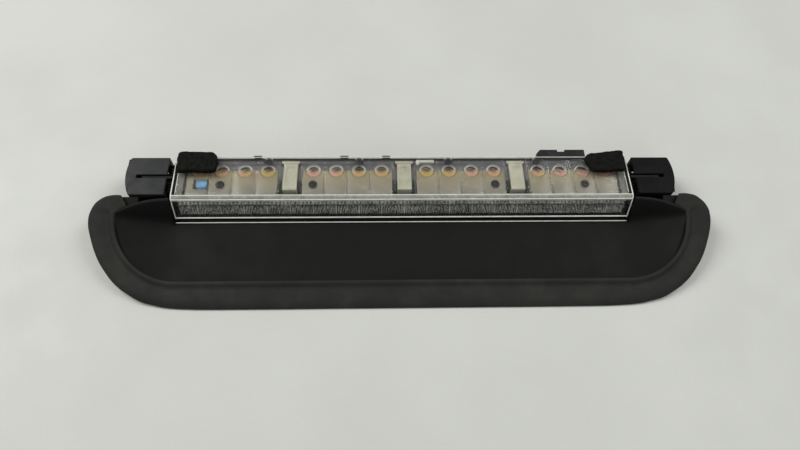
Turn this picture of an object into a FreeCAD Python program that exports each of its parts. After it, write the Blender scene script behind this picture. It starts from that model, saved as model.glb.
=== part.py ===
import FreeCAD, Part
import math
import os

# Third brake light: a black window hood with a soft glass lip, and an LED lamp
# that lies along the rear edge of the hood, held by a spring catch at each end.
# Millimetres. +X along the light bar, +Y towards the rear of the lamp, +Z up,
# away from the hood's flat underside. The model is laid out with Y = 0 near the
# foot of the lens and is moved at the end, so that the origin is the centre of
# the bounding box's bottom face.

V = FreeCAD.Vector

# ---- driving dimensions ------------------------------------------------------
origin_shift_y = 3.3      # moves the working frame to the bounding-box centre

hood_flat_half = 141.5    # half length of the hood's flat underside
hood_end_r = 62.4         # outer radius of the hood's curved ends
hood_t = 2.4              # hood wall thickness
mouth_cx = 138.0          # centre of the mouth's corner circle, X
mouth_cy = 0.8            # centre of the mouth's corner circle, Y
mouth_r = 39.8            # radius of the mouth's corner circle
rim_t = 2.0               # thickness of the rim wall
glass_z0 = 6.3            # height of the glass plane at Y = -40
glass_slope = 0.27        # rise of the glass plane per millimetre of Y
seal_t = 1.9              # glass lip thickness, measured along Z
wall_lean = 0.404         # rearward run of the hood's rear wall per millimetre of height
wall_t = 2.0              # thickness of the rear wall in plan
cradle_half = 148.0       # half length of the cradle under the lamp
cradle_rear = 43.0        # rear edge of the cradle
hood_split = 146.0        # where the curved ends meet the flat middle
seal_split = 138.0        # where the lip's curved ends meet its straight front
peg_r = 1.8               # radius of the pegs that fix the lamp to the hood
lamp_pegs = [(-125.0, 30.0), (-20.0, 30.0), (20.0, 30.0), (125.0, 30.0)]

lens_half = 145.5         # half length of the lens
lens_top = 20.0           # height of the lens's flat top
lens_rear = 41.5          # rear edge of the lens
lens_ridge = 11.0         # ridge between the lens's top and its leaning front
lens_foot = 2.5           # front edge of the foot flange
lens_end_t = 2.5          # thickness of the lens's end walls

pitch = 14.55             # spacing of the light cells
clip_cells = (-5, 0, 5)   # cells taken by the clips
led_y = 32.5              # centre line of the light sources
cup_r = 4.8               # outer radius of a cup's rim
deck_z = 15.4             # top of the frame's deck
step_z = 17.0             # top of the frame's rear step
board_z0, board_z1 = 11.0, 12.6
guide_z = 17.2            # top of the light guides
guide_front, guide_rear = 13.5, 33.0

latch_in = 149.6          # inner edge of the catch
latch_y0, latch_y1 = 13.5, 41.0
latch_z0, latch_z1 = 5.0, 20.0
latch_wall = 2.0
latch_travel = 2.5        # how far a catch goes in
slot_w = 2.5              # width of the slot in the catch
slot_end = 168.6          # outer end of the slot
latch_mid_y = 27.0

spring_r = 3.0            # mean radius of the catch spring
spring_wire = 0.45        # wire radius
spring_pitch = 2.7

pad_t = 4.0               # foam pad thickness


# ---- helpers -----------------------------------------------------------------
def box(x0, x1, y0, y1, z0, z1):
    return Part.makeBox(x1 - x0, y1 - y0, z1 - z0, V(x0, y0, z0))


def face(points):
    ps = [V(*p) for p in points]
    return Part.Face(Part.makePolygon(ps + [ps[0]]))


def prism_x(yz, x0, x1):
    return face([(x0, y, z) for y, z in yz]).extrude(V(x1 - x0, 0, 0))


def prism_z(xy, z0, z1):
    return face([(x, y, z0) for x, y in xy]).extrude(V(0, 0, z1 - z0))


def cyl(r, h, x, y, z, axis=V(0, 0, 1)):
    return Part.makeCylinder(r, h, V(x, y, z), axis)


def cone(r0, r1, h, x, y, z):
    return Part.makeCone(r0, r1, h, V(x, y, z), V(0, 0, 1))


def mirror_x(s):
    return s.mirror(V(0, 0, 0), V(1, 0, 0))


def fuse(shapes):
    out = shapes[0]
    for s in shapes[1:]:
        out = out.fuse(s)
    return out.removeSplitter()


def glass_height(y):
    return glass_z0 + glass_slope * (y + 40.0)


def below_glass(drop):
    """Everything under the glass plane lowered by drop."""
    a, b = -95.0, 95.0
    return prism_x([(a, -60), (b, -60), (b, glass_height(b) - drop), (a, glass_height(a) - drop)], -230, 230)


def glass_slab(top, bottom):
    """Layer between the glass plane lowered by top and lowered by bottom."""
    a, b = -95.0, 95.0
    return prism_x([(a, glass_height(a) - bottom), (b, glass_height(b) - bottom),
                    (b, glass_height(b) - top), (a, glass_height(a) - top)], -230, 230)


def mouth_prism(off):
    """Upright prism of the mouth's plan outline, offset outwards by off."""
    r = mouth_r + off
    y_front = mouth_cy - r
    s = math.sqrt(0.5)
    edges = [
        Part.makeLine(V(-mouth_cx, y_front, -20), V(mouth_cx, y_front, -20)),
        Part.Arc(V(mouth_cx, y_front, -20), V(mouth_cx + r * s, mouth_cy - r * s, -20),
                 V(mouth_cx + r, mouth_cy, -20)).toShape(),
        Part.makeLine(V(mouth_cx + r, mouth_cy, -20), V(mouth_cx + r, 30, -20)),
        Part.makeLine(V(mouth_cx + r, 30, -20), V(-mouth_cx - r, 30, -20)),
        Part.makeLine(V(-mouth_cx - r, 30, -20), V(-mouth_cx - r, mouth_cy, -20)),
        Part.Arc(V(-mouth_cx - r, mouth_cy, -20), V(-mouth_cx - r * s, mouth_cy - r * s, -20),
                 V(-mouth_cx, y_front, -20)).toShape(),
    ]
    return Part.Face(Part.Wire(edges)).extrude(V(0, 0, 80))


# top edge of the hood's rear wall in plan, at the height of the glass plane
wall_curve = [(143, 9.5), (150, 9.25), (157, 8.6), (163, 7.4), (170, 5.1), (176, 2.6), (182, -0.6)]


def wall_region(off, z0=-8.0, z1=60.0):
    """Space in front of the leaning rear wall's face, moved back by off."""
    def base(x, c):
        # plan position at z = 0 of the wall's line through (x, c) on the glass plane
        return (x, c + off - wall_lean * glass_height(c), 0.0)
    right = [base(x, c) for x, c in wall_curve]
    left = [(-x, y, z) for x, y, z in reversed(right)]

    def spline(ps):
        b = Part.BSplineCurve()
        b.interpolate([V(*p) for p in ps])
        return b.toShape()
    far = 230.0
    edges = [spline(right),
             Part.makeLine(V(*right[-1]), V(far, right[-1][1] - 26, 0)),
             Part.makeLine(V(far, right[-1][1] - 26, 0), V(far, -120, 0)),
             Part.makeLine(V(far, -120, 0), V(-far, -120, 0)),
             Part.makeLine(V(-far, -120, 0), V(-far, left[0][1] - 26, 0)),
             Part.makeLine(V(-far, left[0][1] - 26, 0), V(*left[0])),
             spline(left),
             Part.makeLine(V(*left[-1]), V(*right[0]))]
    f = Part.Face(Part.Wire(edges))
    f.translate(V(0, wall_lean * z0, z0))
    return f.extrude(V(0, wall_lean * (z1 - z0), z1 - z0))


def trough_region(drop, y0, y1):
    """Space above the hood's surface; drop 0 is the outer skin, hood_t the inner one."""
    r = hood_end_r - drop
    cz = hood_end_r
    a = math.radians(80)
    x1, z1 = hood_flat_half + r * math.sin(a), cz - r * math.cos(a)
    xm, zm = hood_flat_half + r * math.sin(a / 2), cz - r * math.cos(a / 2)
    f = hood_flat_half
    edges = [
        Part.makeLine(V(-f, y0, drop), V(f, y0, drop)),
        Part.Arc(V(f, y0, drop), V(xm, y0, zm), V(x1, y0, z1)).toShape(),
        Part.makeLine(V(x1, y0, z1), V(x1, y0, 90)),
        Part.makeLine(V(x1, y0, 90), V(-x1, y0, 90)),
        Part.makeLine(V(-x1, y0, 90), V(-x1, y0, z1)),
        Part.Arc(V(-x1, y0, z1), V(-xm, y0, zm), V(-f, y0, drop)).toShape(),
    ]
    return Part.Face(Part.Wire(edges)).extrude(V(0, y1 - y0, 0))


# ---- shroud ------------------------------------------------------------------
def make_shroud():
    above_outer = trough_region(0.0, -60, 60)
    above_inner = trough_region(hood_t, -61, 61)
    shell = above_outer.cut(above_inner)
    front_of_wall = wall_region(wall_t)
    front_of_face = wall_region(0.0)

    skin = shell.common(mouth_prism(rim_t)).common(front_of_wall).common(below_glass(seal_t))

    wall = front_of_wall.cut(front_of_face).common(above_outer).common(mouth_prism(rim_t))
    wall = wall.common(below_glass(0.0))
    wall = wall.cut(box(-lens_half - 0.8, lens_half + 0.8, -20, 60, -20, 60))

    cradle = box(-cradle_half, cradle_half, 0.0, cradle_rear, 0.0, hood_t)
    parts = [skin, wall, cradle]
    # the skin goes on a little way behind the wall, below the lip's rear ends
    apron = shell.common(mouth_prism(rim_t)).common(below_glass(seal_t + 0.4)).cut(front_of_face)
    for x0, x1 in ((146.5, 175.5), (-175.5, -146.5)):
        parts.append(apron.common(box(x0, x1, -2.0, 12.9, -1.0, 30.0)))
    # gussets that stiffen the rear wall from behind
    for x, c in ((152.0, 9.1), (164.0, 7.1)):
        y0 = c - wall_lean * glass_height(c) + 1.0
        g = prism_x([(y0 + wall_lean * 0.5, 0.5), (9.5, 0.5), (11.5, 8.0), (y0 + wall_lean * 13.0, 13.0)],
                    x - 0.8, x + 0.8)
        g = g.common(above_outer)
        parts += [g, mirror_x(g)]
    hood = fuse(parts)
    # holes for the lamp's heat-staked pegs
    for x, y in lamp_pegs:
        hood = hood.cut(cyl(peg_r + 0.1, 6, x, y, -1))
    # the moulding is stored as its flat middle and its two curved ends, which meet face to face
    middle = hood.common(box(-hood_split, hood_split, -90, 90, -10, 90))
    right = hood.common(box(hood_split, 230, -90, 90, -10, 90))
    left = hood.common(box(-230, -hood_split, -90, 90, -10, 90))
    return Part.makeCompound(middle.Solids + left.Solids + right.Solids)


# ---- glass lip ---------------------------------------------------------------
seal_outer = [(0, -55.0), (95, -55.0), (130, -54.6), (144, -53.5), (151, -52.0), (158.5, -50.0),
              (164, -47.2), (170, -43.5), (175.5, -39.0), (180.3, -33.5), (184.7, -27.5),
              (188.6, -20.0), (191.3, -13.0), (193.5, -6.0), (194.0, -2.2), (193.5, 3.2),
              (191.2, 7.9), (187.7, 11.2), (184.0, 13.0), (179.5, 13.7), (175.4, 13.6)]


def make_seal():
    right = [V(x, y, -20) for x, y in seal_outer]
    left = [V(-x, y, -20) for x, y in reversed(seal_outer)]
    outer = Part.BSplineCurve()
    outer.interpolate(left[:-1] + right)
    # inner end of the lip at the rear corners, clear of the wall's top edge
    r_end, l_end = right[-1], left[0]
    inner_r = V(171.4, 8.4, -20)
    inner_l = V(-171.4, 8.4, -20)
    edges = [outer.toShape(),
             Part.makeLine(r_end, inner_r),
             Part.makeLine(inner_r, V(171.4, -10, -20)),
             Part.makeLine(V(171.4, -10, -20), V(-171.4, -10, -20)),
             Part.makeLine(V(-171.4, -10, -20), inner_l),
             Part.makeLine(inner_l, l_end)]
    plan = Part.Face(Part.Wire(edges)).extrude(V(0, 0, 80))
    inside = mouth_prism(-0.5)
    # behind the wall's rear face the lip may reach further in than the mouth
    inside = inside.common(wall_region(wall_t + 0.35))
    plate = plan.cut(inside).common(glass_slab(0.0, seal_t))
    # keep clear of the leaning wall, which rises to the glass plane
    wall_band = wall_region(wall_t + 0.35).cut(wall_region(-0.35)).common(mouth_prism(rim_t + 0.2))
    plate = plate.cut(wall_band)
    # skirt under the bead, down to the hood's edge
    skirt = mouth_prism(rim_t).cut(mouth_prism(0.0)).common(trough_region(hood_t, -60, 60))
    skirt = skirt.common(below_glass(seal_t - 0.3)).common(wall_region(-0.35))
    plate = plate.fuse(skirt).removeSplitter()
    # valley beside the bead
    valley = mouth_prism(4.9).cut(mouth_prism(2.3)).common(glass_slab(-5.0, 0.75))
    valley = valley.common(wall_region(-0.5))
    plate = plate.cut(valley)
    lip = sorted(plate.Solids, key=lambda s: -s.Volume)[0]
    # the lip is stored as its straight front and its two curved ends, which meet face to face
    front = lip.common(box(-seal_split, seal_split, -90, 90, -10, 90))
    right = lip.common(box(seal_split, 230, -90, 90, -10, 90))
    left = lip.common(box(-230, -seal_split, -90, 90, -10, 90))
    return Part.makeCompound(front.Solids + left.Solids + right.Solids)


# ---- lens --------------------------------------------------------------------
front_slope = (lens_ridge - 4.6) / (lens_top - 3.4)


def make_lens():
    outer_ridge = [(lens_ridge, lens_top)]
    section = [(lens_foot, hood_t), (lens_foot, 3.4), (4.6, 3.4), (10.3, 18.2), (10.9, 19.2), (11.9, 19.8),
               (13.0, lens_top), (lens_rear, lens_top), (lens_rear, 18.4), (15.0, 18.4),
               (11.9, 16.6), (6.4, hood_t)]
    lens = prism_x(section, -lens_half, lens_half)
    end = [(lens_foot, hood_t), (lens_foot, 3.4), (4.6, 3.4), (10.3, 18.2), (10.9, 19.2), (11.9, 19.8),
           (13.0, lens_top), (lens_rear, lens_top), (lens_rear, hood_t)]
    ends = []
    for x0 in (-lens_half, lens_half - lens_end_t):
        e = prism_x(end, x0, x0 + lens_end_t)
        # window that the bracket's arm passes through
        e = e.cut(box(x0 - 1, x0 + lens_end_t + 1, 19.8, 34.2, hood_t - 1, 10.3))
        ends.append(e)
    ribs = []
    for k in range(-10, 10):
        x = (k + 0.5) * pitch
        ribs.append(prism_x([(13.5, 18.7), (13.5, 17.45), (39.4, 17.45), (39.4, 18.7)], x - 0.45, x + 0.45))
    # horizontal ribs between the two rows of optics, inside the leaning front
    bar_y = 4.6 + front_slope * (11.6 - 3.4) + 2.1
    ribs.append(prism_x([(bar_y - 0.6, 11.2), (bar_y + 0.9, 11.4), (bar_y + 0.9, 12.2), (bar_y - 0.2, 12.4)],
                        -lens_half + 1.5, lens_half - 1.5))
    lens = fuse([lens] + ends + ribs)
    # the hood's floor starts to rise here, so the ends stand a little higher
    for x0 in (-lens_half - 1, 141.2):
        lens = lens.cut(box(x0, x0 + lens_half + 1 - 141.2, -1, 50, hood_t - 1, hood_t + 0.2))
    return lens


def make_gasket():
    y0, y1, x1 = 7.65, 9.1, 142.8
    ring = box(-x1, x1, y0, y1, 4.0, 5.2)
    side = box(x1 - 1.5, x1, y0, 19.0, 4.0, 5.2)
    floor_part = fuse([ring, side, mirror_x(side)])
    rear = box(-142.4, 142.4, 40.0, 41.3, step_z, 18.35)
    for k in (-6, -2, 2, 6):
        rear = rear.cut(cyl(3.1, 3, k * pitch, 39.2, step_z - 0.5))
    return Part.makeCompound([floor_part] + rear.Solids)


# ---- lamp interior -----------------------------------------------------------
led_cells = [k for k in range(-9, 10) if k not in clip_cells]
frame_screw_cells = (-6, -2, 2, 6)
guide_screw_cells = (-8, -4, 4, 8)
frame_screw_y = 39.2
guide_screw_y = 21.9
pin_x = (98.6, 113.1)
varistor_leads = (-130.2, -126.3)


def make_housing():
    floor = box(-142.7, 142.7, 7.35, 41.4, hood_t, 4.0)
    rear = box(-142.7, 142.7, 39.9, 41.4, hood_t, 14.0)
    parts = [floor, rear]
    for sx in (-1, 1):
        e = box(139.7, 141.1, 19.2, 41.4, 4.0, 14.0)
        parts.append(e if sx > 0 else mirror_x(e))
    # seats for the board
    for k in guide_screw_cells:
        parts.append(cyl(2.6, board_z0 - 3.5, k * pitch, guide_screw_y, 3.5))
    for k in (-7, -3, 3, 7):
        parts.append(box(k * pitch - 0.8, k * pitch + 0.8, 24.5, 40.5, 3.5, board_z0))
    for k in frame_screw_cells:
        parts.append(cyl(1.95, 14.0 - 3.5, k * pitch, frame_screw_y, 3.5))
    # tabs that locate the lens's rear edge
    for x in (-94.0, -38.5, -11.5):
        parts.append(box(x - 2.6, x + 2.6, 41.6, 42.5, 3.0, 19.9))
        parts.append(box(x - 2.6, x + 2.6, 41.2, 42.0, 3.0, 13.0))
    body = fuse(parts)
    for k in frame_screw_cells:
        body = body.cut(cyl(1.15, 8.0, k * pitch, frame_screw_y, 8.0))
    for k in guide_screw_cells:
        body = body.cut(cyl(1.15, 6.0, k * pitch, guide_screw_y, board_z0 - 5.5))
    for x in pin_x:
        body = body.cut(box(x - 0.7, x + 0.7, 38, 43, 12.3, 13.6))
    # pegs, heat-staked in the hood's floor
    for x, y in lamp_pegs:
        body = body.fuse(cyl(peg_r, hood_t - 0.3, x, y, 0.4))
    return body


def make_frame():
    deck = box(-142.6, 142.6, 26.0, 41.4, 14.0, deck_z)
    step = box(-142.6, 142.6, 38.0, 41.4, 14.0, step_z)
    legs = []
    for sx in (-1, 1):
        leg = box(137.4, 139.3, 26.0, 37.0, board_z1, 14.2)
        legs.append(leg if sx > 0 else mirror_x(leg))
    body = fuse([deck, step] + legs)
    for k in led_cells:
        body = body.cut(cyl(4.32, 5, k * pitch, led_y, 12.0))
    for k in frame_screw_cells:
        body = body.cut(cyl(1.4, 8, k * pitch, frame_screw_y, 12.0))
    for k in clip_cells:
        x = k * pitch
        body = body.cut(box(x - 6.0, x + 6.0, 37.15, 39.45, 12.0, 20.0))
    return body


def make_cups():
    cups = []
    for k in led_cells:
        x = k * pitch
        c = cyl(4.3, deck_z - board_z1, x, led_y, board_z1)
        c = c.fuse(cyl(cup_r, 0.25, x, led_y, deck_z))
        c = c.cut(cone(2.9, 3.9, deck_z + 0.25 - board_z1, x, led_y, board_z1))
        cups.append(c.removeSplitter())
    return Part.makeCompound(cups)


def make_board():
    b = box(-139.2, 139.2, 20.0, 37.0, board_z0, board_z1)
    for k in guide_screw_cells:
        b = b.cut(cyl(1.3, 4, k * pitch, guide_screw_y, board_z0 - 1))
    for k in frame_screw_cells:
        b = b.cut(cyl(2.2, 4, k * pitch, frame_screw_y, board_z0 - 1))
    for x in varistor_leads:
        b = b.cut(cyl(0.55, 4, x, 22.7, board_z0 - 1))
    return b


def make_leds():
    out = []
    for k in led_cells:
        x = k * pitch
        body = box(x - 1.75, x + 1.75, led_y - 1.4, led_y + 1.4, board_z1, board_z1 + 0.9)
        dome = cone(1.35, 1.0, 0.5, x, led_y, board_z1 + 0.9)
        out.append(body.fuse(dome).removeSplitter())
    return Part.makeCompound(out)


def make_guide(k0, k1):
    """One light guide over the cells k0 to k1."""
    x0 = (k0 - 0.5) * pitch + 0.6
    x1 = (k1 + 0.5) * pitch - 0.6
    section = [(guide_front, 8.0), (guide_front, guide_z), (guide_rear - 0.8, guide_z), (guide_rear, guide_z - 0.6),
               (guide_rear, deck_z + 0.3), (25.8, deck_z + 0.3), (25.8, 13.9), (19.6, 13.9), (18.6, 8.0)]
    g = prism_x(section, x0, x1)
    for k in guide_screw_cells:
        if k0 <= k <= k1:
            g = g.cut(cyl(1.4, 12, k * pitch, guide_screw_y, 8.0))
    # shallow grooves between the cells
    for k in range(k0, k1):
        x = (k + 0.5) * pitch
        g = g.cut(box(x - 0.7, x + 0.7, guide_front - 1, guide_rear + 1, guide_z - 0.5, guide_z + 1))
    if k0 == -9:
        g = g.cut(box(-133.4, -123.6, 19.0, 26.0, 8.0, 20.0))
    return g


def make_screws(cells, y, head_z, shank_len, head_r=2.8):
    out = []
    for k in cells:
        x = k * pitch
        head = cyl(head_r, 0.75, x, y, head_z)
        crown = cone(head_r, head_r - 0.6, 0.35, x, y, head_z + 0.75)
        shank = cyl(1.1, shank_len, x, y, head_z - shank_len)
        s = fuse([head, crown, shank])
        s = s.cut(cyl(1.15, 0.8, x, y, head_z + 0.5))
        out.append(s)
    return Part.makeCompound(out)


def make_clip(k):
    x = k * pitch
    body = box(x - 4.5, x + 4.5, 17.7, 38.6, 16.9, 18.1)
    head = box(x - 5.75, x + 5.75, 37.4, 39.2, 16.9, 18.2)
    rear_leg = box(x - 4.5, x + 4.5, 37.4, 38.8, 4.0, 17.2)
    front_leg = box(x - 4.5, x + 4.5, 17.7, 19.2, 4.0, 17.2)
    foot = box(x - 4.5, x + 4.5, 17.7, 22.0, 4.0, 5.0)
    clip = fuse([body, head, rear_leg, front_leg, foot])
    clip = clip.cut(box(x - 2.6, x + 2.6, 21.5, 34.5, 17.6, 19.0))
    return clip


def make_resistors():
    return Part.makeCompound([box(x - 1.6, x + 1.6, 23.0, 24.6, board_z1, board_z1 + 0.6)
                              for x in (-102.0, -36.0, 36.0, 102.0)])


def make_diode():
    d = box(119.0, 123.3, 22.5, 25.1, board_z1, board_z1 + 1.1)
    legs = box(118.3, 124.0, 23.1, 24.5, board_z1, board_z1 + 0.3)
    return fuse([d, legs])


def make_varistor():
    disc = box(-131.9, -124.6, 20.2, 25.3, board_z1 + 0.8, 17.0)
    vertical = [e for e in disc.Edges if abs(e.Vertexes[0].Z - e.Vertexes[-1].Z) > 1]
    disc = disc.makeFillet(1.6, vertical)
    top = [e for e in disc.Edges if all(abs(v.Z - 17.0) < 1e-6 for v in e.Vertexes)]
    disc = disc.makeFillet(0.7, top)
    leads = [box(x - 0.3, x + 0.3, 22.4, 23.0, board_z0, board_z1 + 1.0) for x in varistor_leads]
    return fuse([disc] + leads)


def make_header():
    base = box(7.95, 19.6, 38.2, 39.95, step_z, 18.25)
    notch = box(10.5, 17.6, 38.0, 38.7, 17.7, 19.0)
    lip = box(7.95, 9.9, 36.6, 38.3, 17.3, 18.25)
    return fuse([base, lip]).cut(notch)


def make_connector():
    shell = prism_z([(88.0, 41.55), (88.0, 45.6), (90.6, 48.4), (120.0, 48.4), (120.0, 41.55)], 8.0, 18.0)
    cavity = box(91.2, 118.2, 43.4, 50.0, 9.6, 16.4)
    shell = shell.cut(cavity)
    for x in pin_x:
        shell = shell.cut(box(x - 0.4, x + 0.4, 41, 44, board_z1 - 0.02, board_z1 + 0.72))
    shell = shell.cut(box(102.0, 107.0, 46.9, 49.0, 15.0, 19.0))
    shell = shell.cut(cyl(3.1, 4, frame_screw_cells[-1] * pitch, frame_screw_y, 16.7))
    ribs = [box(x - 0.6, x + 0.6, 44.0, 48.0, 17.9, 18.4) for x in (95.0, 114.0)]
    return fuse([shell] + ribs)


def make_pins():
    out = []
    for x in pin_x:
        p = box(x - 0.32, x + 0.32, 35.8, 47.0, board_z1, board_z1 + 0.64)
        out.append(p)
    return Part.makeCompound(out)


# ---- end catches (drawn at +X, mirrored for -X) -------------------------------
def latch_outline(inset):
    """Plan outline of the catch, inset from its outer faces."""
    a = V(173.7 - inset, latch_y1 - inset, 0)
    m = V(175.4 - inset, 28.0, 0)
    b = V(171.4 - inset, latch_y0 + inset, 0)
    x_in = latch_in - (1.0 if inset else 0.0)
    edges = [Part.Arc(a, m, b).toShape(),
             Part.makeLine(b, V(x_in, latch_y0 + inset, 0)),
             Part.makeLine(V(x_in, latch_y0 + inset, 0), V(x_in, latch_y1 - inset, 0)),
             Part.makeLine(V(x_in, latch_y1 - inset, 0), a)]
    return Part.Face(Part.Wire(edges))


def make_latch():
    outer = latch_outline(0.0)
    outer.translate(V(0, 0, latch_z0))
    body = outer.extrude(V(0, 0, latch_z1 - latch_z0))
    corner = [e for e in body.Edges
              if abs(e.Vertexes[0].Z - e.Vertexes[-1].Z) > 5 and e.Vertexes[0].X > 165]
    body = body.makeFillet(1.4, corner)
    top = [e for e in body.Edges if all(abs(v.Z - latch_z1) < 1e-6 for v in e.Vertexes)
           and max(v.X for v in e.Vertexes) > latch_in + 1]
    try:
        body = body.makeFillet(0.6, top)
    except Exception:
        pass
    inner = latch_outline(latch_wall)
    inner.translate(V(0, 0, latch_z0 - 1))
    cavity = inner.extrude(V(0, 0, latch_z1 - latch_wall - latch_z0 + 1))
    body = body.cut(cavity)
    # slot in the top, open towards the lamp
    body = body.cut(box(latch_in - 1, slot_end, latch_mid_y - slot_w / 2, latch_mid_y + slot_w / 2, 17.0, 21.0))
    # lips that stop the catch at its outer end of travel
    for y0, y1 in ((latch_y0 + latch_wall - 0.2, 16.7), (37.8, latch_y1 - latch_wall + 0.2)):
        body = body.fuse(box(latch_in, latch_in + 1.2, y0, y1, 6.0, 17.0))
    # web across the bottom, below the spring
    body = body.fuse(box(157.0, 173.9, 24.0, 37.4, latch_z0, latch_z0 + 1.4))
    # seat inside the outer wall for the spring
    body = body.fuse(cyl(1.9, 3.2, 170.9, latch_mid_y, 11.5, V(1, 0, 0)))
    return body.removeSplitter()


def make_bracket():
    plate = box(145.7, 147.0, 15.9, 38.7, 4.0, 17.3)
    arm = box(141.15, 146.0, 20.0, 34.0, 4.0, 10.0)
    block = box(146.8, 158.0, 22.2, 31.8, 7.6, 15.6)
    blade = box(146.8, 165.6, latch_mid_y - 1.0, latch_mid_y + 1.0, 15.2, 18.7)
    boss = cyl(1.9, 2.6, 157.8, latch_mid_y, 11.5, V(1, 0, 0))
    parts = [plate, arm, block, blade, boss]
    for y0, y1, yb0, yb1 in ((17.0, 18.3, 15.7, 17.2), (36.2, 37.5, 37.3, 38.8)):
        parts.append(box(146.8, 153.2, y0, y1, 6.5, 16.5))
        parts.append(box(150.9, 153.2, yb0, yb1, 6.5, 16.5))
    # short teeth along the plate
    y = 19.4
    while y < 36.0:
        if not (25.0 < y < 29.0):
            parts.append(box(146.8, 149.0, y - 0.45, y + 0.45, 5.5, 17.3))
        y += 2.1
    return fuse(parts)


def make_spring():
    length = 14.0
    helix = Part.makeHelix(spring_pitch, length, spring_r)
    profile = Part.Wire([Part.Circle(V(spring_r, 0, 0), V(0, 1, 0), spring_wire).toShape()])
    coil = Part.Wire(helix).makePipeShell([profile], True, True)
    coil.rotate(V(0, 0, 0), V(0, 1, 0), 90)
    coil.translate(V(158.6, latch_mid_y, 11.5))
    return coil


def make_pad(cx, cy, wx, wy, angle):
    p = box(-wx / 2, wx / 2, -wy / 2, wy / 2, 0, pad_t)
    vertical = [e for e in p.Edges if abs(e.Vertexes[0].Z - e.Vertexes[-1].Z) > 1]
    p = p.makeFillet(2.2, vertical)
    p.rotate(V(0, 0, 0), V(0, 0, 1), angle)
    p.translate(V(cx, cy, lens_top))
    return p


# ---- export ------------------------------------------------------------------
latch = make_latch()
bracket = make_bracket()
spring = make_spring()

nodes = {
    "shroud": make_shroud(),
    "glass_seal": make_seal(),
    "outer_lens": make_lens(),
    "lens_gasket": make_gasket(),
    "lamp_housing": make_housing(),
    "led_frame": make_frame(),
    "led_cups": make_cups(),
    "circuit_board": make_board(),
    "leds": make_leds(),
    "light_guide_far_left": make_guide(-9, -6),
    "light_guide_near_left": make_guide(-4, -1),
    "light_guide_near_right": make_guide(1, 4),
    "light_guide_far_right": make_guide(6, 9),
    "frame_screws": make_screws(frame_screw_cells, frame_screw_y, step_z, 7.5),
    "guide_screws": make_screws(guide_screw_cells, guide_screw_y, guide_z, 10.5),
    "snap_clip_left": make_clip(-5),
    "snap_clip_center": make_clip(0),
    "snap_clip_right": make_clip(5),
    "resistors": make_resistors(),
    "diode": make_diode(),
    "varistor": make_varistor(),
    "board_header": make_header(),
    "connector_shell": make_connector(),
    "connector_pins": make_pins(),
    "foam_pad_left": make_pad(-131.0, 36.1, 25.6, 14.8, -0.6),
    "foam_pad_right": make_pad(130.9, 36.3, 25.4, 14.6, 4.5),
    "latch_left": mirror_x(latch),
    "latch_right": latch,
    "end_bracket_left": mirror_x(bracket),
    "end_bracket_right": bracket,
    "latch_spring_left": mirror_x(spring),
    "latch_spring_right": spring,
}

os.makedirs("parts", exist_ok=True)
for name, shape in nodes.items():
    s = shape.copy()
    s.translate(V(0, origin_shift_y, 0))
    solids = s.Solids
    bad = [i for i, q in enumerate(solids) if not q.isValid() or q.Volume <= 0]
    out = solids[0] if len(solids) == 1 else Part.makeCompound(solids)
    out.exportStep("parts/%s.step" % name)
    bb = out.BoundBox
    print("%-24s solids %2d bad %s vol %9.1f  x %7.2f..%7.2f y %6.2f..%6.2f z %5.2f..%5.2f" % (
        name, len(solids), bad, sum(q.Volume for q in solids), bb.XMin, bb.XMax, bb.YMin, bb.YMax, bb.ZMin, bb.ZMax))
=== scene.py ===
import math

import bmesh
import bpy
from mathutils import Matrix, Vector, noise


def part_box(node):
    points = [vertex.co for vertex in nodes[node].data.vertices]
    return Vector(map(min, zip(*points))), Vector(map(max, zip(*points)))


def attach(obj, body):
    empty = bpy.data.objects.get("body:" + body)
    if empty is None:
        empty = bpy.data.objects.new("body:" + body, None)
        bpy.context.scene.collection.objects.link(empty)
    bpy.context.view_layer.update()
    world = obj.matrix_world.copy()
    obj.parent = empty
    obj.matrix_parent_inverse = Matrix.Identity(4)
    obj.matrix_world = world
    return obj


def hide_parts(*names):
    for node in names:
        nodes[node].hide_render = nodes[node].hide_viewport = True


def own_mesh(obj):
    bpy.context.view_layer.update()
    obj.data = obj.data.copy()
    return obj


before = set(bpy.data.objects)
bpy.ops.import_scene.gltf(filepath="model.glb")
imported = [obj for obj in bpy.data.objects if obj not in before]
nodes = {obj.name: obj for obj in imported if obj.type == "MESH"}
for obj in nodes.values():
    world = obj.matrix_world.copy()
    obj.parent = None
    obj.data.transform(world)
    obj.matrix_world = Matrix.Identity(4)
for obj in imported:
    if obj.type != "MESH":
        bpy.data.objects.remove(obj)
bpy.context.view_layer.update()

# The design's own Y = 0 is at the lens foot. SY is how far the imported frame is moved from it, in mm.
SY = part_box("outer_lens")[0][1] * 1000.0 - 2.5
PITCH = 14.55
CLIP_CELLS = (-5, 0, 5)
LED_CELLS = [k for k in range(-9, 10) if k not in CLIP_CELLS]
FRAME_SCREW_CELLS = (-6, -2, 2, 6)
GUIDE_SCREW_CELLS = (-8, -4, 4, 8)

# ---------------------------------------------------------------- camera first
def camera_at(az, el, roll, dist, target, lens):
    a, e, r = (math.radians(v) for v in (az, el, roll))
    back = Vector((math.sin(a) * math.cos(e), -math.cos(a) * math.cos(e), math.sin(e)))
    fwd = -back
    right = fwd.cross(Vector((0, 0, 1))).normalized()
    up = right.cross(fwd)
    rx = right * math.cos(r) + up * math.sin(r)
    ux = -right * math.sin(r) + up * math.cos(r)
    pos = Vector(target) + back * dist
    cam = bpy.data.cameras.new("camera")
    cam.lens = lens
    cam.sensor_width = 36.0
    cam.clip_start = 0.01
    cam.clip_end = 20.0
    ob = bpy.data.objects.new("camera", cam)
    bpy.context.scene.collection.objects.link(ob)
    m = Matrix((rx, ux, back)).transposed().to_4x4()
    m.translation = pos
    ob.matrix_world = m
    bpy.context.scene.camera = ob


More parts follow.
